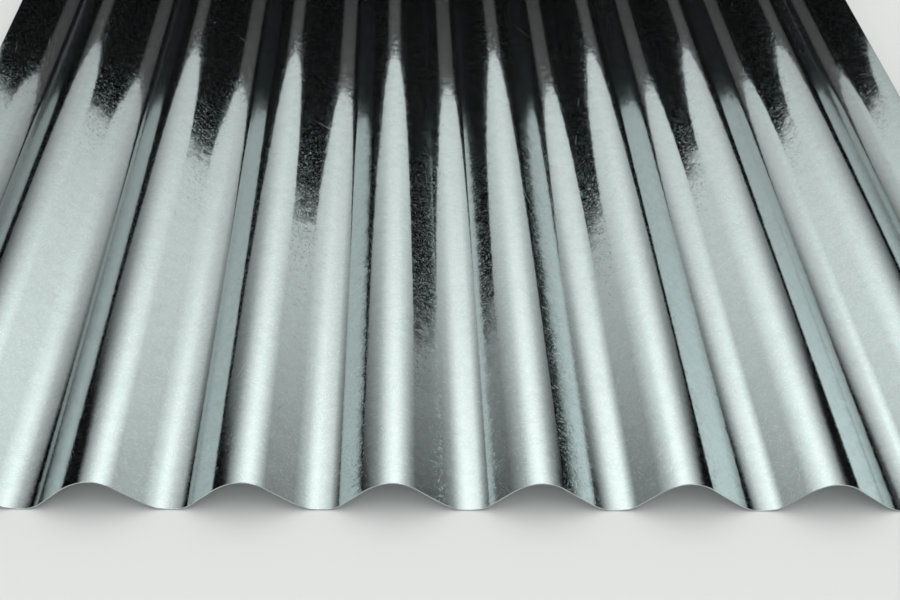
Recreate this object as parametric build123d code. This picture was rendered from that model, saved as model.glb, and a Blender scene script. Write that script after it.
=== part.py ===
from build123d import *
from math import asin, atan2, ceil, degrees, hypot
import os

# Corrugated metal sheet: one length of galvanised roofing sheet that lies flat
# X runs across the corrugations, Y along them and Z up
# The origin is under the middle of the sheet, level with the undersides of the troughs

# Driving dimensions in millimetres
sheet_length = 2000.0
coil_width = 762.0
sheet_thickness = 0.6
pitch = 76.0
depth = 18.0
flank_flat = 13.5

# Sizes that follow from the rolled section, all on the middle of the sheet's thickness
half_pitch = pitch / 2
bend_radius = (half_pitch**2 + depth**2 - flank_flat**2) / (4 * depth)
bend_centre_rise = 2 * bend_radius - depth
centre_distance = hypot(half_pitch, bend_centre_rise)
flank_angle = degrees(asin(2 * bend_radius / centre_distance) - atan2(bend_centre_rise, half_pitch))

# Heights of the bend centres, with the trough undersides on the plane of the origin
trough_centre_height = sheet_thickness / 2 + bend_radius
crest_centre_height = sheet_thickness / 2 + depth - bend_radius


def crest_bend(x):
    """One rounded crest of the section, drawn towards +X."""
    return CenterArc((x, crest_centre_height), bend_radius, 90 + flank_angle, -2 * flank_angle)


def trough_bend(x):
    """One rounded trough of the section, drawn towards +X."""
    return CenterArc((x, trough_centre_height), bend_radius, -90 - flank_angle, 2 * flank_angle)


# Bends on each side of the middle trough: enough of them for the whole width of the coil
bends_each_side = ceil(coil_width / 2 / hypot(half_pitch, depth)) + 1

# Middle line of the section: rounded crests and troughs joined by straight flanks
with BuildLine() as wave_line:
    last_bend = None
    for place in range(-bends_each_side, bends_each_side + 1):
        bend_at = trough_bend if place % 2 == 0 else crest_bend
        bend = bend_at(place * half_pitch)
        if last_bend is not None:
            Line(last_bend @ 1, bend @ 0)
        last_bend = bend

# The coil is slit square to its surface before it is rolled, so the line is cut by its own length
wave = wave_line.wire()
cut_share = coil_width / 2 / wave.length
section_line = wave.trim(0.5 - cut_share, 0.5 + cut_share)

# Rolled section at the full thickness, stood upright and run along the corrugations
section = Plane.XZ * trace(section_line, sheet_thickness)
corrugated_sheet = extrude(section, sheet_length / 2, both=True)
corrugated_sheet.label = "corrugated_sheet"

# One piece, one file
os.makedirs("parts", exist_ok=True)
export_step(corrugated_sheet, "parts/corrugated_sheet.step")

# Summary of the finished piece
box = corrugated_sheet.bounding_box()
print("overall width", round(box.size.X, 2))
print("overall length", round(box.size.Y, 2))
print("overall height", round(box.size.Z, 2))
print("bend radius", round(bend_radius, 2), "flank angle", round(flank_angle, 2))
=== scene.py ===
"""Looks of a corrugated metal sheet: one length of galvanised roofing sheet in a studio.

X runs across the corrugations, Y along them and Z up, in metres. The sheet's own front cut
end is at the low end of Y.
"""

import logging
from bisect import bisect_left
from collections.abc import Callable, Mapping
from dataclasses import dataclass, field
from enum import Enum
from math import ceil, cos, hypot, pi, radians, sin

import bmesh
import bpy
from mathutils import Matrix, Vector

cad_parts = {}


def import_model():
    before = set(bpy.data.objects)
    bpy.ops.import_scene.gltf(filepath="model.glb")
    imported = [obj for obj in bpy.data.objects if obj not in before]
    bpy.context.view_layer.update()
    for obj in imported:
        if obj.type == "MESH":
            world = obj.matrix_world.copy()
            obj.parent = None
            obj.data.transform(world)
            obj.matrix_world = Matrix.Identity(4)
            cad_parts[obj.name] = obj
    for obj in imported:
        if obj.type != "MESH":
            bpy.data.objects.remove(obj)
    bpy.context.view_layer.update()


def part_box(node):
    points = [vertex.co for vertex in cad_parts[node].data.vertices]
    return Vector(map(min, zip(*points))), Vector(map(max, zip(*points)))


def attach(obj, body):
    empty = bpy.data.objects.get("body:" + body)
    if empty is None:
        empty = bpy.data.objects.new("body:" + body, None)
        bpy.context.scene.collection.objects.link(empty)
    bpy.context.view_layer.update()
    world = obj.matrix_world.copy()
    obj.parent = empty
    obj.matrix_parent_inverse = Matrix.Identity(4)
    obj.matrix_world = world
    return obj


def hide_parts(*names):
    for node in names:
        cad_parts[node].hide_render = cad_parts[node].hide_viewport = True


log = logging.getLogger("corrugated_sheet")

NODE = "corrugated_sheet"
FLAT_MAP = "flat_coil"
MM = 0.001
# Points nearer to each other than this are one point
SAME_PLACE = 0.01 * MM
# Most that the section turns from one facet of a bend to the next
FACET_TURN = radians(1.0)


# ---------------------------------------------------------------- small helpers


def linear(code: str) -> tuple[float, float, float, float]:
    """Turn an sRGB hex colour into the linear colour that a node takes.

    Args:
        code: The colour as "#RRGGBB".

    Returns:
        Red, green, blue and an alpha of 1.
    """
    shares = [int(code[i : i + 2], 16) / 255 for i in (1, 3, 5)]
    red, green, blue = (
        s / 12.92 if s <= 0.04045 else ((s + 0.055) / 1.055) ** 2.4 for s in shares
    )
    return red, green, blue, 1.0


def add_node(
    tree: bpy.types.NodeTree,
    kind: str,
    values: Mapping[str | int, object] | None = None,
    links: Mapping[str | int, bpy.types.NodeSocket] | None = None,
    **settings: object,
) -> bpy.types.Node:
    """Add one node with its settings, the values of its sockets and its links.

    Args:
        tree: The node tree that it joins.
        kind: The node's type, such as "ShaderNodeMath".
        values: Value of an input, by its name or number.
        links: Output that feeds an input, by the input's name or number.
        **settings: The node's own properties, such as its operation.

    Returns:
        The new node.
    """
    node = tree.nodes.new(kind)
    for name, setting in settings.items():
        setattr(node, name, setting)
    for socket, value in (values or {}).items():
        node.inputs[socket].default_value = value
    for socket, source in (links or {}).items():
        tree.links.new(source, node.inputs[socket])
    return node


def bell(
    tree: bpy.types.NodeTree, distance: bpy.types.NodeSocket, width: float
) -> bpy.types.NodeSocket:
    """Add nodes that fall off from 1 as a bell curve does.

    Args:
        tree: The node tree that they join.
        distance: Output that holds the distance from the middle, in metres.
        width: The bell's standard deviation, in metres.

    Returns:
        The output that holds the bell's height, from 0 to 1.
    """
    square = add_node(
        tree, "ShaderNodeMath", links={0: distance, 1: distance}, operation="MULTIPLY"
    )
    share = add_node(
        tree,
        "ShaderNodeMath",
        {1: -0.5 / width**2},
        {0: square.outputs[0]},
        operation="MULTIPLY",
    )
    return add_node(
        tree, "ShaderNodeMath", links={0: share.outputs[0]}, operation="EXPONENT"
    ).outputs[0]


def new_material(name: str) -> tuple[bpy.types.Material, bpy.types.Node]:
    """Make an empty material.

    Args:
        name: The real material's name.

    Returns:
        The material and its output node.
    """
    material = bpy.data.materials.new(name)
    material.use_nodes = True
    material.node_tree.nodes.clear()
    return material, add_node(material.node_tree, "ShaderNodeOutputMaterial")


def deselect_all() -> None:
    """Leave object mode with nothing selected, the imported model's nodes included."""
    if bpy.context.object and bpy.context.object.mode != "OBJECT":
        bpy.ops.object.mode_set(mode="OBJECT")
    bpy.ops.object.select_all(action="DESELECT")


def select_points(piece: bpy.types.Object, wanted: Callable[[Vector], bool]) -> None:
    """In edit mode, select the points in the wanted places and the edges between them.

    Args:
        piece: The object that is edited.
        wanted: Says for a point's place whether it is wanted.
    """
    bpy.ops.mesh.select_mode(type="VERT")
    bpy.ops.mesh.select_all(action="DESELECT")
    shape = bmesh.from_edit_mesh(piece.data)
    for point in shape.verts:
        point.select = wanted(point.co)
    shape.select_flush(True)
    bmesh.update_edit_mesh(piece.data)


# ---------------------------------------------------------------- finishes


@dataclass(frozen=True)
class Strokes:
    """Fine straight strokes in a surface, each turned as the patch that it lies in.

    Attributes:
        width: Width of a stroke, in metres.
        length: Length of a stroke, in metres.
        share: Share of the strokes that show.
        lean: Slope of a stroke's face, for a strength of 1.
        bite: Strength of the strongest stroke.
    """

    width: float
    length: float
    share: float
    lean: float
    bite: float = 1.0

    def build(
        self,
        tree: bpy.types.NodeTree,
        flat: bpy.types.NodeSocket,
        chance: bpy.types.NodeSocket,
        shift: float,
    ) -> tuple[bpy.types.NodeSocket, bpy.types.NodeSocket]:
        """Add one layer of strokes.

        Args:
            tree: The material's node tree.
            flat: Output that holds the place on the flat coil, in metres.
            chance: Output that holds the patch's turn, as a share of a full turn.
            shift: How far this layer's pattern is moved from the others', in metres.

        Returns:
            Output with the stroke's strength, from 0 between the strokes to the full bite,
            and output with its lean as a vector.
        """
        turn = add_node(
            tree, "ShaderNodeMath", {1: 2 * pi}, {0: chance}, operation="MULTIPLY"
        )
        moved = add_node(
            tree,
            "ShaderNodeVectorMath",
            {1: (shift, shift, 0)},
            {0: flat},
            operation="ADD",
        )
        turned = add_node(
            tree,
            "ShaderNodeVectorRotate",
            links={"Vector": moved.outputs[0], "Angle": turn.outputs[0]},
            rotation_type="Z_AXIS",
        )
        stretched = add_node(
            tree,
            "ShaderNodeVectorMath",
            {1: (1 / self.width, 1 / self.length, 1)},
            {0: turned.outputs[0]},
            operation="MULTIPLY",
        )
        cells = add_node(
            tree,
            "ShaderNodeTexVoronoi",
            {"Scale": 1.0},
            {"Vector": stretched.outputs[0]},
            voronoi_dimensions="2D",
        )
        draw = add_node(
            tree, "ShaderNodeSeparateColor", links={0: cells.outputs["Color"]}
        )
        strength = add_node(
            tree,
            "ShaderNodeMapRange",
            {"From Min": 1 - self.share, "To Max": self.bite},
            {"Value": draw.outputs[2]},
        ).outputs[0]
        centred = add_node(
            tree,
            "ShaderNodeVectorMath",
            {1: (0.5, 0.5, 0.5)},
            {0: cells.outputs["Color"]},
            operation="SUBTRACT",
        )
        lean = add_node(
            tree,
            "ShaderNodeVectorMath",
            links={0: centred.outputs[0], "Scale": strength},
            operation="SCALE",
        )
        return strength, lean.outputs[0]


@dataclass(frozen=True)
class HotDipZinc:
    """Bright hot-dip zinc with its crystals kept small, fresh and clean.

    To the eye it is a cool mirror, sharp enough for the bands of light and dark to keep
    their outlines. A scatter of fine rough needles, which lie their own way in each small
    patch, shows as grey strokes in the dark bands and breaks up their ends. A few longer
    scratches came from handling. The rolls have left a haze along the crests and the
    troughs, where they pressed, and it makes those glow softly.
    """

    light_zinc: str = "#D0D8D9"
    dark_zinc: str = "#CBD3D4"
    needle_zinc: str = "#D1E2E3"
    roughness: float = 0.08
    needle_roughness: float = 0.165
    # Real needles are a fraction of this wide, too fine to show in the render. They are
    # drawn as coarse as it takes for a stroke to show.
    needles: Strokes = Strokes(width=0.33 * MM, length=2.2 * MM, share=0.25, lean=0.045)
    # Crystals of the zinc, each with its own tone, slight lean and needle directions
    patch_size: float = 6.5 * MM
    patch_lean: float = 0.004
    # Scratches from handling, drawn coarser than the real ones for the same reason
    scratches: Strokes = Strokes(
        width=0.4 * MM, length=12 * MM, share=0.0015, lean=0.04, bite=2.5
    )
    scratch_patch: float = 70 * MM
    # Keeps the two layers of needles and the scratches from lying in one pattern, in metres
    layer_shifts: tuple[float, float, float] = (0.0, 0.37, 0.71)
    # Long shallow waves that the rolls press into the sheet
    roll_wave: float = 0.03 * MM
    roll_wave_across: float = 45 * MM
    roll_wave_along: float = 160 * MM
    # Haze of the rolls: full up to one slope of the surface and gone at the other
    haze: float = 0.68
    haze_roughness: float = 0.55
    haze_index: float = 2.0
    haze_slope: float = radians(5)
    haze_fade: float = radians(17.5)
    # It is thinner between the needles and thicker on the strongest, by these factors
    haze_off_needles: float = 0.8
    haze_on_needles: float = 1.3
    # Haze of the strongest needle itself, wherever it lies
    needle_haze: float = 0.1

    def patches(
        self, tree: bpy.types.NodeTree, flat: bpy.types.NodeSocket, size: float
    ) -> tuple[bpy.types.NodeSocket, bpy.types.Node]:
        """Add patches that each get a colour by chance.

        Args:
            tree: The material's node tree.
            flat: Output that holds the place on the flat coil, in metres.
            size: How far apart the patches lie, in metres.

        Returns:
            The output that holds the colour and the node that splits it in three numbers.
        """
        colour = add_node(
            tree,
            "ShaderNodeTexVoronoi",
            {"Scale": 1 / size},
            {"Vector": flat},
            voronoi_dimensions="2D",
        ).outputs["Color"]
        return colour, add_node(tree, "ShaderNodeSeparateColor", links={0: colour})

    def haze_share(
        self, tree: bpy.types.NodeTree, strength: bpy.types.NodeSocket
    ) -> bpy.types.NodeSocket:
        """Add the haze along the crests and troughs, and the needles' own.

        The crests and troughs are where the surface lies nearly level.

        Args:
            tree: The material's node tree.
            strength: Output that holds the strokes' strength.

        Returns:
            The output that holds the haze's share.
        """
        normal = add_node(tree, "ShaderNodeNewGeometry").outputs["Normal"]
        split = add_node(tree, "ShaderNodeSeparateXYZ", links={0: normal})
        level = add_node(
            tree, "ShaderNodeMath", links={0: split.outputs["Z"]}, operation="ABSOLUTE"
        )
        band = add_node(
            tree,
            "ShaderNodeMapRange",
            {"From Min": cos(self.haze_fade), "From Max": cos(self.haze_slope)},
            {"Value": level.outputs[0]},
            interpolation_type="SMOOTHSTEP",
        )
        uneven = add_node(
            tree,
            "ShaderNodeMapRange",
            {
                "To Min": self.haze_off_needles * self.haze,
                "To Max": self.haze_on_needles * self.haze,
            },
            {"Value": strength},
        )
        rolled = add_node(
            tree,
            "ShaderNodeMath",
            links={0: band.outputs[0], 1: uneven.outputs[0]},
            operation="MULTIPLY",
        )
        return add_node(
            tree,
            "ShaderNodeMath",
            {1: self.needle_haze},
            {0: strength, 2: rolled.outputs[0]},
            operation="MULTIPLY_ADD",
            use_clamp=True,
        ).outputs[0]

    def rolled_normal(
        self,
        tree: bpy.types.NodeTree,
        flat: bpy.types.NodeSocket,
        leans: list[tuple[bpy.types.NodeSocket, float]],
    ) -> bpy.types.NodeSocket:
        """Add the surface's fine relief: leaning needles and patches, and the rolls' waves.

        Args:
            tree: The material's node tree.
            flat: Output that holds the place on the flat coil, in metres.
            leans: Outputs that hold a lean as a vector, each with its scale.

        Returns:
            The output that holds the normal.
        """
        # A normal map holds a level surface as half red and half green
        packed: bpy.types.NodeSocket | None = None
        for lean, most in leans:
            term = add_node(
                tree,
                "ShaderNodeVectorMath",
                {1: (most, most, 0), 2: (0.5, 0.5, 1.0)},
                {0: lean},
                operation="MULTIPLY_ADD",
            )
            if packed is not None:
                tree.links.new(packed, term.inputs[2])
            packed = term.outputs[0]
        grain = add_node(
            tree,
            "ShaderNodeNormalMap",
            {"Strength": 1.0},
            {"Color": packed},
            uv_map=FLAT_MAP,
        )
        wave_place = add_node(
            tree,
            "ShaderNodeVectorMath",
            {1: (1 / self.roll_wave_across, 1 / self.roll_wave_along, 1)},
            {0: flat},
            operation="MULTIPLY",
        )
        wave = add_node(
            tree,
            "ShaderNodeTexNoise",
            {"Scale": 1.0, "Detail": 1.0},
            {"Vector": wave_place.outputs[0]},
            noise_dimensions="2D",
        )
        return add_node(
            tree,
            "ShaderNodeBump",
            {"Strength": 1.0, "Distance": self.roll_wave},
            {"Height": wave.outputs[0], "Normal": grain.outputs[0]},
        ).outputs[0]

    def material(self) -> bpy.types.Material:
        """Make the material.

        Returns:
            The finished material.
        """
        material, output = new_material("hot_dip_zinc")
        tree = material.node_tree
        flat = add_node(tree, "ShaderNodeUVMap", uv_map=FLAT_MAP).outputs["UV"]
        colour, chance = self.patches(tree, flat, self.patch_size)
        scratched = self.patches(tree, flat, self.scratch_patch)[1]
        # Two layers of needles, which cross in each patch, and the scratches
        layers = [
            (strokes, strokes.build(tree, flat, turn, shift))
            for strokes, turn, shift in zip(
                (self.needles, self.needles, self.scratches),
                (chance.outputs[0], chance.outputs[1], scratched.outputs[0]),
                self.layer_shifts,
            )
        ]
        # Where strokes cross, the stronger shows
        strength = layers[0][1][0]
        for _, (other, _) in layers[1:]:
            strength = add_node(
                tree,
                "ShaderNodeMath",
                links={0: strength, 1: other},
                operation="MAXIMUM",
            ).outputs[0]
        patch_lean = add_node(
            tree,
            "ShaderNodeVectorMath",
            {1: (0.5, 0.5, 0.5)},
            {0: colour},
            operation="SUBTRACT",
        )
        # Slopes of the strokes and patches, which break up the reflections' outlines
        leans = [(lean, strokes.lean) for strokes, (_, lean) in layers]
        leans.append((patch_lean.outputs[0], self.patch_lean))
        normal = self.rolled_normal(tree, flat, leans)
        # Rough strokes, which look grey where the rest mirrors the dark
        rough = add_node(
            tree,
            "ShaderNodeMapRange",
            {"To Min": self.roughness, "To Max": self.needle_roughness},
            {"Value": strength},
            clamp=False,
        )
        tone = add_node(tree, "ShaderNodeMix", data_type="RGBA")
        tone.inputs[6].default_value = linear(self.dark_zinc)
        tone.inputs[7].default_value = linear(self.light_zinc)
        tree.links.new(chance.outputs[2], tone.inputs[0])
        # Strokes a little lighter than their patch, as specks in the bright bands
        flecked = add_node(tree, "ShaderNodeMix", data_type="RGBA")
        flecked.inputs[7].default_value = linear(self.needle_zinc)
        tree.links.new(strength, flecked.inputs[0])
        tree.links.new(tone.outputs[2], flecked.inputs[6])
        shader = add_node(
            tree,
            "ShaderNodeBsdfPrincipled",
            {
                "Metallic": 1.0,
                "Coat Roughness": self.haze_roughness,
                "Coat IOR": self.haze_index,
            },
            {
                "Base Color": flecked.outputs[2],
                "Roughness": rough.outputs[0],
                "Normal": normal,
                "Coat Weight": self.haze_share(tree, strength),
            },
        )
        tree.links.new(shader.outputs[0], output.inputs["Surface"])
        return material


@dataclass(frozen=True)
class ShearedEdge:
    """The thin edge that the shear and the slitter leave: bright steel with fine marks.

    To the eye it is a thin light line round the sheet, a little duller than the zinc.
    """

    steel: str = "#BFC1C1"
    roughness: float = 0.3
    roughness_change: float = 0.1
    mark: float = 0.4 * MM
    mark_depth: float = 0.02 * MM
    mark_relief: float = 0.5
    mark_detail: float = 2.0

    def material(self) -> bpy.types.Material:
        """Make the material.

        Returns:
            The finished material.
        """
        material, output = new_material("sheared_steel_edge")
        tree = material.node_tree
        place = add_node(tree, "ShaderNodeTexCoord").outputs["Object"]
        marks = add_node(
            tree,
            "ShaderNodeTexNoise",
            {"Scale": 1 / self.mark, "Detail": self.mark_detail},
            {"Vector": place},
        )
        rough = add_node(
            tree,
            "ShaderNodeMapRange",
            {
                "To Min": self.roughness - self.roughness_change,
                "To Max": self.roughness + self.roughness_change,
            },
            {"Value": marks.outputs[0]},
        )
        relief = add_node(
            tree,
            "ShaderNodeBump",
            {"Strength": self.mark_relief, "Distance": self.mark_depth},
            {"Height": marks.outputs[0]},
        )
        shader = add_node(
            tree,
            "ShaderNodeBsdfPrincipled",
            {"Metallic": 1.0, "Base Color": linear(self.steel)},
            {"Roughness": rough.outputs[0], "Normal": relief.outputs[0]},
        )
        tree.links.new(shader.outputs[0], output.inputs["Surface"])
        return material


@dataclass(frozen=True)
class PaleFloor:
    """Plain pale studio floor, painted matt: to the eye it has a shadow and no gleam."""

    colour: str = "#DCDDDB"
    roughness: float = 0.9

    def material(self) -> bpy.types.Material:
        """Make the material.

        Returns:
            The finished material.
        """
        material, output = new_material("pale_floor")
        shader = add_node(
            material.node_tree,
            "ShaderNodeBsdfPrincipled",
            {"Base Color": linear(self.colour), "Roughness": self.roughness},
        )
        material.node_tree.links.new(shader.outputs[0], output.inputs["Surface"])
        return material


# ---------------------------------------------------------------- the sheet


class Turn(Enum):
    """Which way the section turns on its way towards +X, as the spin operator counts it."""

    OVER_A_CREST = -1
    THROUGH_A_TROUGH = 1


@dataclass(frozen=True)
class Bend:
    """Half of a crest or trough, from its line out to the flank, in a few arcs.

    The radii are on the middle of the sheet's thickness. Each arc but the last ends at the
    slope given for it, and the last at the flank's own slope.
    """

    radii: tuple[float, ...]
    ends: tuple[float, ...]

    def arcs(self, slope: float) -> list[tuple[float, float, float]]:
        """List the arcs from the line outwards.

        Args:
            slope: The flank's slope, in radians.

        Returns:
            Radius, first slope and last slope of each arc.
        """
        slopes = (0.0, *self.ends, slope)
        return list(zip(self.radii, slopes, slopes[1:]))

    def run(self, slope: float) -> float:
        """Distance across the sheet from the line to the flank's end."""
        return sum(r * (sin(last) - sin(first)) for r, first, last in self.arcs(slope))

    def drop(self, slope: float) -> float:
        """Height between the line and the flank's end."""
        return sum(r * (cos(first) - cos(last)) for r, first, last in self.arcs(slope))


@dataclass(frozen=True)
class Flank:
    """One side of a wave: a straight flank between a crest's bend and a trough's."""

    slope: float
    crest: Bend
    trough: Bend

    @property
    def bends_run(self) -> float:
        """Distance across that the two bends take up."""
        return self.crest.run(self.slope) + self.trough.run(self.slope)

    def drop(self, run: float) -> float:
        """Height from the crest's line to the trough's, a distance across apart."""
        bends = self.crest.drop(self.slope) + self.trough.drop(self.slope)
        return bends + (run - self.bends_run) * sin(self.slope) / cos(self.slope)


class SectionPen:
    """Draws the rolled section towards +X as a strip of the sheet's full length."""

    def __init__(
        self, start: tuple[float, float], slope: float, straight: float, length: float
    ) -> None:
        """Begin with one straight flank that rises towards +X.

        Args:
            start: The flank's lower end, across the sheet and above the floor.
            slope: The flank's slope, in radians.
            straight: The flank's length on the slope.
            length: The strip's length along the corrugations.
        """
        deselect_all()
        bpy.ops.mesh.primitive_plane_add(
            size=1,
            location=(
                start[0] + straight / 2 * cos(slope),
                0,
                start[1] + straight / 2 * sin(slope),
            ),
            rotation=(0, -slope, 0),
        )
        self.piece = bpy.context.object
        self.piece.scale = (straight, length, 1)
        bpy.ops.object.transform_apply(location=True, rotation=True, scale=True)
        bpy.ops.object.mode_set(mode="EDIT")
        self.heading = slope

    def take_end(self) -> Vector:
        """Select the strip's right-hand end.

        Returns:
            The place of one of the end's points.
        """
        points = bmesh.from_edit_mesh(self.piece.data).verts
        end = max(points, key=lambda point: point.co.x).co.copy()
        select_points(self.piece, lambda place: place.x > end.x - SAME_PLACE)
        return end

    def arc(self, radius: float, turn: Turn, angle: float) -> None:
        """Carry the strip on in an arc.

        Args:
            radius: The arc's radius.
            turn: Which way it turns.
            angle: How far it turns, in radians.
        """
        end = self.take_end()
        way = turn.value
        bpy.ops.mesh.spin(
            steps=ceil(angle / FACET_TURN) + 1,
            angle=way * angle,
            center=(
                end.x - way * radius * sin(self.heading),
                0,
                end.z + way * radius * cos(self.heading),
            ),
            axis=(0, 1, 0),
        )
        self.heading += way * angle

    def bend(self, bend: Bend, slope: float, turn: Turn, outwards: bool) -> None:
        """Carry the strip on through half a crest or trough.

        Args:
            bend: The half crest or trough.
            slope: The slope of its flank, in radians.
            turn: Which way it turns.
            outwards: True from its line to the flank, False from the flank to its line.
        """
        arcs = bend.arcs(slope)
        for radius, first, last in arcs if outwards else reversed(arcs):
            self.arc(radius, turn, last - first)

    def line(self, distance: float) -> None:
        """Carry the strip straight on."""
        self.take_end()
        step = distance * cos(self.heading), 0, distance * sin(self.heading)
        bpy.ops.mesh.extrude_region_move(TRANSFORM_OT_translate={"value": step})


@dataclass
class CorrugatedSheet:
    """The whole sheet, in place of the CAD node with its coarse facets.

    The rolls bent the two sides of a wave a little differently, so the crests are not quite
    midway between the troughs. It moves the surface by less than a millimetre, but it
    decides the outline of each reflection.
    """

    pitch: float = 76 * MM
    thickness: float = 0.6 * MM
    falling: Flank = Flank(
        slope=radians(36.9),
        crest=Bend((18.3 * MM, 20.4 * MM), (radians(15.1),)),
        trough=Bend((18.6 * MM, 34.6 * MM, 500 * MM), (radians(24.8), radians(35.1))),
    )
    rising: Flank = Flank(
        slope=radians(41.0),
        crest=Bend((18.8 * MM, 33.6 * MM), (radians(25.1),)),
        trough=Bend((29.5 * MM, 12.6 * MM), (radians(11.6),)),
    )
    waves: int = 10
    burr: float = 0.1 * MM
    burr_steps: int = 2
    # An edge that turns by more than the first gets the burr, and by more than the second
    # stays sharp
    burr_from: float = radians(60)
    smooth_up_to: float = radians(15)
    low: Vector = field(default_factory=Vector)
    high: Vector = field(default_factory=Vector)

    def __post_init__(self) -> None:
        """Take the overall size from the CAD node."""
        self.low, self.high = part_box(NODE)

    @property
    def rising_run(self) -> float:
        """Distance across from a trough's line to the next crest's.

        Both flanks of a crest drop to troughs of one height, which fixes how they share the
        pitch.
        """
        rise = sin(self.rising.slope) / cos(self.rising.slope)
        fall = sin(self.falling.slope) / cos(self.falling.slope)
        more = self.falling.drop(self.pitch) - self.rising.drop(0.0)
        return more / (rise + fall)

    def one_wave(self) -> bpy.types.Object:
        """Model one wave, from a rising flank to the next, as a surface with no thickness.

        Returns:
            The object, past the sheet's low end of X.
        """
        rising, falling = self.rising, self.falling
        up, over = Turn.THROUGH_A_TROUGH, Turn.OVER_A_CREST
        # The middle trough's line lies on X = 0
        first_trough = -self.waves / 2 * self.pitch
        pen = SectionPen(
            (
                first_trough + rising.trough.run(rising.slope),
                self.thickness / 2 + rising.trough.drop(rising.slope),
            ),
            rising.slope,
            (self.rising_run - rising.bends_run) / cos(rising.slope),
            self.high.y - self.low.y,
        )
        pen.bend(rising.crest, rising.slope, over, outwards=False)
        pen.bend(falling.crest, falling.slope, over, outwards=True)
        falling_run = self.pitch - self.rising_run
        pen.line((falling_run - falling.bends_run) / cos(falling.slope))
        pen.bend(falling.trough, falling.slope, up, outwards=False)
        pen.bend(rising.trough, rising.slope, up, outwards=True)
        bpy.ops.object.mode_set(mode="OBJECT")
        return pen.piece

    def lay_waves(self, piece: bpy.types.Object) -> None:
        """Repeat the one wave across the sheet, as one surface, and slit both sides."""
        row = piece.modifiers.new("waves", "ARRAY")
        row.count = self.waves
        row.use_relative_offset = False
        row.use_constant_offset = True
        row.constant_offset_displace = (self.pitch, 0, 0)
        row.use_merge_vertices = True
        row.merge_threshold = SAME_PLACE
        bpy.ops.object.modifier_apply(modifier=row.name)
        bpy.ops.object.mode_set(mode="EDIT")
        bpy.ops.mesh.select_all(action="SELECT")
        bpy.ops.mesh.remove_doubles(threshold=SAME_PLACE)
        # The slitter's cuts, just short of the outer crests' tops
        for side, way in ((self.low.x, -1), (self.high.x, 1)):
            bpy.ops.mesh.select_all(action="SELECT")
            bpy.ops.mesh.bisect(
                plane_co=(side, 0, 0), plane_no=(way, 0, 0), clear_outer=True
            )
        bpy.ops.mesh.select_all(action="SELECT")
        bpy.ops.mesh.normals_make_consistent(inside=False)
        bpy.ops.object.mode_set(mode="OBJECT")
        if sum(face.normal.z for face in piece.data.polygons) < 0:
            bpy.ops.object.mode_set(mode="EDIT")
            bpy.ops.mesh.flip_normals()
            bpy.ops.object.mode_set(mode="OBJECT")

    def map_flat(self, piece: bpy.types.Object) -> None:
        """Give the surface a UV map in metres on the flat coil, before it has thickness."""
        mesh = piece.data
        near_end = min(point.co.y for point in mesh.vertices) + SAME_PLACE
        section = sorted(
            (point.co.x, point.co.z) for point in mesh.vertices if point.co.y < near_end
        )
        places = [x for x, _ in section]
        lengths = [0.0]
        for before, after in zip(section, section[1:]):
            lengths.append(lengths[-1] + hypot(after[0] - before[0], after[1] - before[1]))
        for layer in list(mesh.uv_layers):
            mesh.uv_layers.remove(layer)
        layer = mesh.uv_layers.new(name=FLAT_MAP)
        for loop in mesh.loops:
            place = mesh.vertices[loop.vertex_index].co
            nearest = min(bisect_left(places, place.x - SAME_PLACE), len(places) - 1)
            layer.data[loop.index].uv = (lengths[nearest], place.y)

    def build(self) -> bpy.types.Object:
        """Model the sheet and dress it.

        Returns:
            The finished piece.
        """
        piece = self.one_wave()
        self.lay_waves(piece)
        self.map_flat(piece)
        piece.data.materials.append(HotDipZinc().material())
        piece.data.materials.append(ShearedEdge().material())
        wall = piece.modifiers.new("thickness", "SOLIDIFY")
        wall.thickness = self.thickness
        wall.offset = 0
        wall.use_even_offset = True
        wall.material_offset_rim = 1
        bpy.ops.object.modifier_apply(modifier=wall.name)
        edge = piece.modifiers.new("burr", "BEVEL")
        edge.width = self.burr
        edge.segments = self.burr_steps
        edge.limit_method = "ANGLE"
        edge.angle_limit = self.burr_from
        bpy.ops.object.modifier_apply(modifier=edge.name)
        bpy.ops.object.shade_smooth_by_angle(angle=self.smooth_up_to)
        piece.name = piece.data.name = "zinc_coated_sheet"
        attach(piece, "root")
        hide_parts(NODE)
        return piece


# ---------------------------------------------------------------- studio


@dataclass(frozen=True)
class SoftBox:
    """A flat rectangular studio lamp."""

    name: str
    place: tuple[float, float, float]
    turn: tuple[float, float, float]
    width: float
    height: float
    brightness: float

    def build(self) -> bpy.types.Object:
        """Make the lamp.

        Returns:
            The lamp, which the camera doesn't see.
        """
        lamp = bpy.data.lights.new(self.name, "AREA")
        lamp.shape = "RECTANGLE"
        lamp.size, lamp.size_y = self.width, self.height
        # With this power a brightness of 1 shows white in a mirror
        lamp.energy = pi * self.width * self.height * self.brightness
        holder = bpy.data.objects.new(self.name, lamp)
        holder.location, holder.rotation_euler = self.place, self.turn
        holder.visible_camera = False
        bpy.context.scene.collection.objects.link(holder)
        return holder


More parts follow.
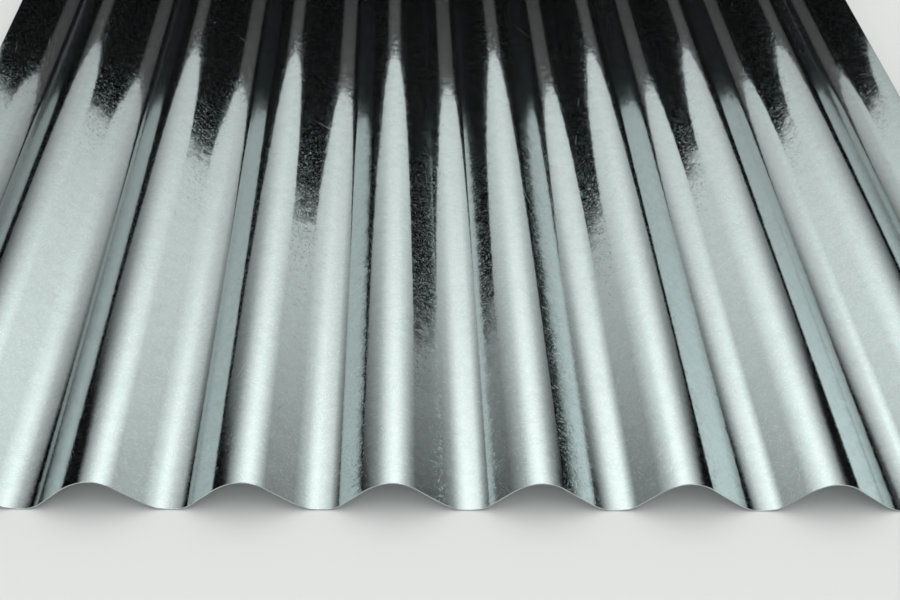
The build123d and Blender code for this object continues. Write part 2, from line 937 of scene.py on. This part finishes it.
@dataclass(frozen=True)
class Card:
    """An upright card that faces the front, and that only reflections see.

    It shows from its front only, so that nothing stands in the light of the other side.
    """

    name: str
    middle: tuple[float, float, float]
    width: float
    height: float
    light: float
    turn: float = 0.0
    spread: float | None = None
    rise: float | None = None

    def strength(self, tree: bpy.types.NodeTree) -> bpy.types.NodeSocket:
        """Add the nodes that let the card's light fall off from its middle.

        Args:
            tree: The card's node tree.

        Returns:
            The output that holds the strength.
        """
        place = add_node(tree, "ShaderNodeNewGeometry").outputs["Position"]
        away = add_node(
            tree,
            "ShaderNodeVectorMath",
            {1: self.middle},
            {0: place},
            operation="SUBTRACT",
        )
        split = add_node(tree, "ShaderNodeSeparateXYZ", links={0: away.outputs[0]})
        share = add_node(
            tree,
            "ShaderNodeMath",
            links={
                0: bell(tree, split.outputs["X"], self.spread),
                1: bell(tree, split.outputs["Z"], self.rise),
            },
            operation="MULTIPLY",
        )
        return add_node(
            tree,
            "ShaderNodeMath",
            {1: self.light},
            {0: share.outputs[0]},
            operation="MULTIPLY",
        ).outputs[0]

    def build(self) -> bpy.types.Object:
        """Make the card.

        Returns:
            The card.
        """
        deselect_all()
        bpy.ops.mesh.primitive_plane_add(
            size=1, location=self.middle, rotation=(pi / 2, 0, self.turn)
        )
        card = bpy.context.object
        card.scale = (self.width, self.height, 1)
        card.name = self.name
        bpy.ops.object.transform_apply(location=True, rotation=True, scale=True)
        material, output = new_material(self.name)
        tree = material.node_tree
        front = add_node(
            tree,
            "ShaderNodeEmission",
            {"Color": linear("#FFFFFF"), "Strength": self.light},
        )
        if self.spread is not None and self.rise is not None:
            tree.links.new(self.strength(tree), front.inputs["Strength"])
        either = add_node(
            tree,
            "ShaderNodeMixShader",
            links={
                0: add_node(tree, "ShaderNodeNewGeometry").outputs["Backfacing"],
                1: front.outputs[0],
                2: add_node(tree, "ShaderNodeBsdfTransparent").outputs[0],
            },
        )
        tree.links.new(either.outputs[0], output.inputs["Surface"])
        material.cycles.emission_sampling = "NONE"
        card.data.materials.append(material)
        card.visible_camera = card.visible_diffuse = card.visible_shadow = False
        card.visible_transmission = card.visible_volume_scatter = False
        return card


@dataclass(frozen=True)
class Screen:
    """A lit diffusing screen that stands across the sheet just past the picture's top.

    Its light falls off from the middle to the sides and is strongest high up, which gives
    the crests their bright lines. Under it hangs a dark cloth that gives the dark bands.
    """

    place: float = -0.3512
    lower_edge: float = 0.118
    upper_edge: float = 1.4
    width: float = 1.44
    turn: float = 0.0471
    rise: float = 0.018
    tint: str = "#FAFFFB"
    middle: float = 0.0235
    even_light: float = 0.6
    even_spread: float = 0.3045
    hot_light: float = 0.84
    hot_height: float = 0.74
    hot_spread: float = 0.391
    hot_rise: float = 0.35
    fade_from: float = 0.575
    cloth_gap: float = 0.012
    cloth_width: float = 3.0
    cloth_light: float = 0.001

    def strength(self, tree: bpy.types.NodeTree) -> bpy.types.NodeSocket:
        """Add the nodes that shape the screen's light over its face.

        Args:
            tree: The lamp's node tree.

        Returns:
            The output that holds the strength.
        """
        place = add_node(tree, "ShaderNodeNewGeometry").outputs["Position"]
        from_hot = add_node(
            tree,
            "ShaderNodeVectorMath",
            {1: (self.middle, 0, self.hot_height)},
            {0: place},
            operation="SUBTRACT",
        )
        away = add_node(tree, "ShaderNodeSeparateXYZ", links={0: from_hot.outputs[0]})
        hot_share = add_node(
            tree,
            "ShaderNodeMath",
            links={
                0: bell(tree, away.outputs["X"], self.hot_spread),
                1: bell(tree, away.outputs["Z"], self.hot_rise),
            },
            operation="MULTIPLY",
        )
        even = add_node(
            tree,
            "ShaderNodeMath",
            {1: self.even_light},
            {0: bell(tree, away.outputs["X"], self.even_spread)},
            operation="MULTIPLY",
        )
        total = add_node(
            tree,
            "ShaderNodeMath",
            {1: self.hot_light},
            {0: hot_share.outputs[0], 2: even.outputs[0]},
            operation="MULTIPLY_ADD",
        )
        side = add_node(
            tree, "ShaderNodeMath", links={0: away.outputs["X"]}, operation="ABSOLUTE"
        )
        fade = add_node(
            tree,
            "ShaderNodeMapRange",
            {
                "From Min": self.fade_from,
                "From Max": self.width / 2,
                "To Min": 1.0,
                "To Max": 0.0,
            },
            {"Value": side.outputs[0]},
            interpolation_type="SMOOTHSTEP",
        )
        return add_node(
            tree,
            "ShaderNodeMath",
            links={0: total.outputs[0], 1: fade.outputs[0]},
            operation="MULTIPLY",
        ).outputs[0]

    def build(self, lit: bpy.types.Object) -> None:
        """Make the screen, and the cloth behind and under it.

        Args:
            lit: The piece that the screen lights. The floor keeps its own even light.
        """
        holder = SoftBox(
            "screen",
            (0, self.place, (self.upper_edge + self.lower_edge) / 2),
            (-pi / 2, -self.rise, self.turn),
            self.width,
            self.upper_edge - self.lower_edge,
            1.0,
        ).build()
        lamp = holder.data
        lamp.use_nodes = True
        tree = lamp.node_tree
        tree.nodes.clear()
        glow = add_node(
            tree,
            "ShaderNodeEmission",
            {"Color": linear(self.tint)},
            {"Strength": self.strength(tree)},
        )
        output = add_node(tree, "ShaderNodeOutputLight")
        tree.links.new(glow.outputs[0], output.inputs[0])
        receivers = bpy.data.collections.new("lit_by_screen")
        receivers.objects.link(lit)
        holder.light_linking.receiver_collection = receivers
        Card(
            "dark_cloth",
            (0, self.place + self.cloth_gap, self.upper_edge / 2),
            self.cloth_width,
            self.upper_edge,
            self.cloth_light,
            self.turn,
        ).build()


@dataclass(frozen=True)
class Studio:
    """Floor, surroundings and lamps."""

    # So wide that no view shows its end
    floor_size: float = 120.0
    # Colour of the air near the horizon, and of the dim ceiling that the zinc mirrors
    horizon: str = "#D6D8D8"
    zenith: str = "#8E9091"
    horizon_top: float = sin(radians(6))
    zenith_from: float = sin(radians(38))
    # Strips that hang over both sides, and low fills in front and on both sides
    lamps: tuple[SoftBox, ...] = (
        SoftBox("left_strip", (-0.95, -0.1, 2.2), (0, 0, 0), 0.8, 4.4, 1.5),
        SoftBox("right_strip", (0.95, -0.1, 2.2), (0, 0, 0), 0.8, 4.4, 1.5),
        SoftBox("front_fill", (0, -2.6, 1.3), (pi / 2, 0, 0), 2.6, 1.9, 0.4),
        SoftBox("left_fill", (-2.1, 0.2, 1.1), (pi / 2, 0, -pi / 2), 2.4, 1.5, 0.4),
        SoftBox("right_fill", (2.1, 0.2, 1.1), (pi / 2, 0, pi / 2), 2.4, 1.5, 0.4),
    )
    rear_card: Card = Card(
        "pale_card", (0, 1.6, 0.5), 5.0, 2.4, 1.0, spread=0.62, rise=0.45
    )

    def build(self, piece: bpy.types.Object) -> None:
        """Make the floor, the surroundings and the lamps.

        Args:
            piece: The sheet, which the screen lights.
        """
        deselect_all()
        bpy.ops.mesh.primitive_plane_add(size=self.floor_size)
        floor = bpy.context.object
        floor.name = "studio_floor"
        floor.data.materials.append(PaleFloor().material())
        self.surroundings()
        for lamp in self.lamps:
            lamp.build()
        self.rear_card.build()
        Screen().build(piece)

    def surroundings(self) -> None:
        """Give the world a pale wash, with a dim ceiling that only the zinc mirrors."""
        world = bpy.data.worlds.new("studio_air")
        world.use_nodes = True
        tree = world.node_tree
        tree.nodes.clear()
        way = add_node(tree, "ShaderNodeTexCoord").outputs["Generated"]
        split = add_node(tree, "ShaderNodeSeparateXYZ", links={0: way})
        height = add_node(
            tree,
            "ShaderNodeMapRange",
            {"From Min": self.horizon_top, "From Max": self.zenith_from},
            {"Value": split.outputs["Z"]},
            interpolation_type="SMOOTHSTEP",
        )
        mix = add_node(tree, "ShaderNodeMix", data_type="RGBA")
        mix.inputs[6].default_value = linear(self.horizon)
        mix.inputs[7].default_value = linear(self.zenith)
        mirrored = add_node(
            tree,
            "ShaderNodeMath",
            links={
                0: height.outputs[0],
                1: add_node(tree, "ShaderNodeLightPath").outputs["Is Glossy Ray"],
            },
            operation="MULTIPLY",
        )
        tree.links.new(mirrored.outputs[0], mix.inputs[0])
        back = add_node(
            tree, "ShaderNodeBackground", {"Strength": 1.0}, {"Color": mix.outputs[2]}
        )
        output = add_node(tree, "ShaderNodeOutputWorld")
        tree.links.new(back.outputs[0], output.inputs["Surface"])
        bpy.context.scene.world = world


@dataclass(frozen=True)
class Viewpoint:
    """The photograph's camera: close to the front end, looking down along the waves."""

    place: tuple[float, float, float] = (-0.04098, -1.51722, 0.52986)
    tilt_down: float = 0.6507
    turn_right: float = 0.0531
    roll: float = 0.0412
    # Lens and sensor in millimetres, and how near and how far the camera sees, in metres
    lens: float = 57.305
    sensor: float = 36.0
    sight: tuple[float, float] = (0.01, 100.0)

    def build(self) -> bpy.types.Object:
        """Make the camera.

        Returns:
            The scene's camera.
        """
        data = bpy.data.cameras.new("photograph")
        data.lens, data.sensor_width = self.lens, self.sensor
        data.clip_start, data.clip_end = self.sight
        camera = bpy.data.objects.new("photograph", data)
        camera.matrix_world = (
            Matrix.Translation(self.place)
            @ Matrix.Rotation(-self.turn_right, 4, "Z")
            @ Matrix.Rotation(pi / 2 - self.tilt_down, 4, "X")
            @ Matrix.Rotation(self.roll, 4, "Z")
        )
        bpy.context.scene.collection.objects.link(camera)
        bpy.context.scene.camera = camera
        return camera


def main() -> None:
    """Build the camera, the studio and the sheet, and report each piece."""
    logging.basicConfig(level=logging.INFO, format="%(name)s: %(message)s")
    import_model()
    scene = bpy.context.scene
    scene.view_settings.view_transform = "Standard"
    Viewpoint().build()
    piece = CorrugatedSheet().build()
    Studio().build(piece)
    log.info("%s: %d faces", piece.name, len(piece.data.polygons))


if __name__ == "__main__":
    main()
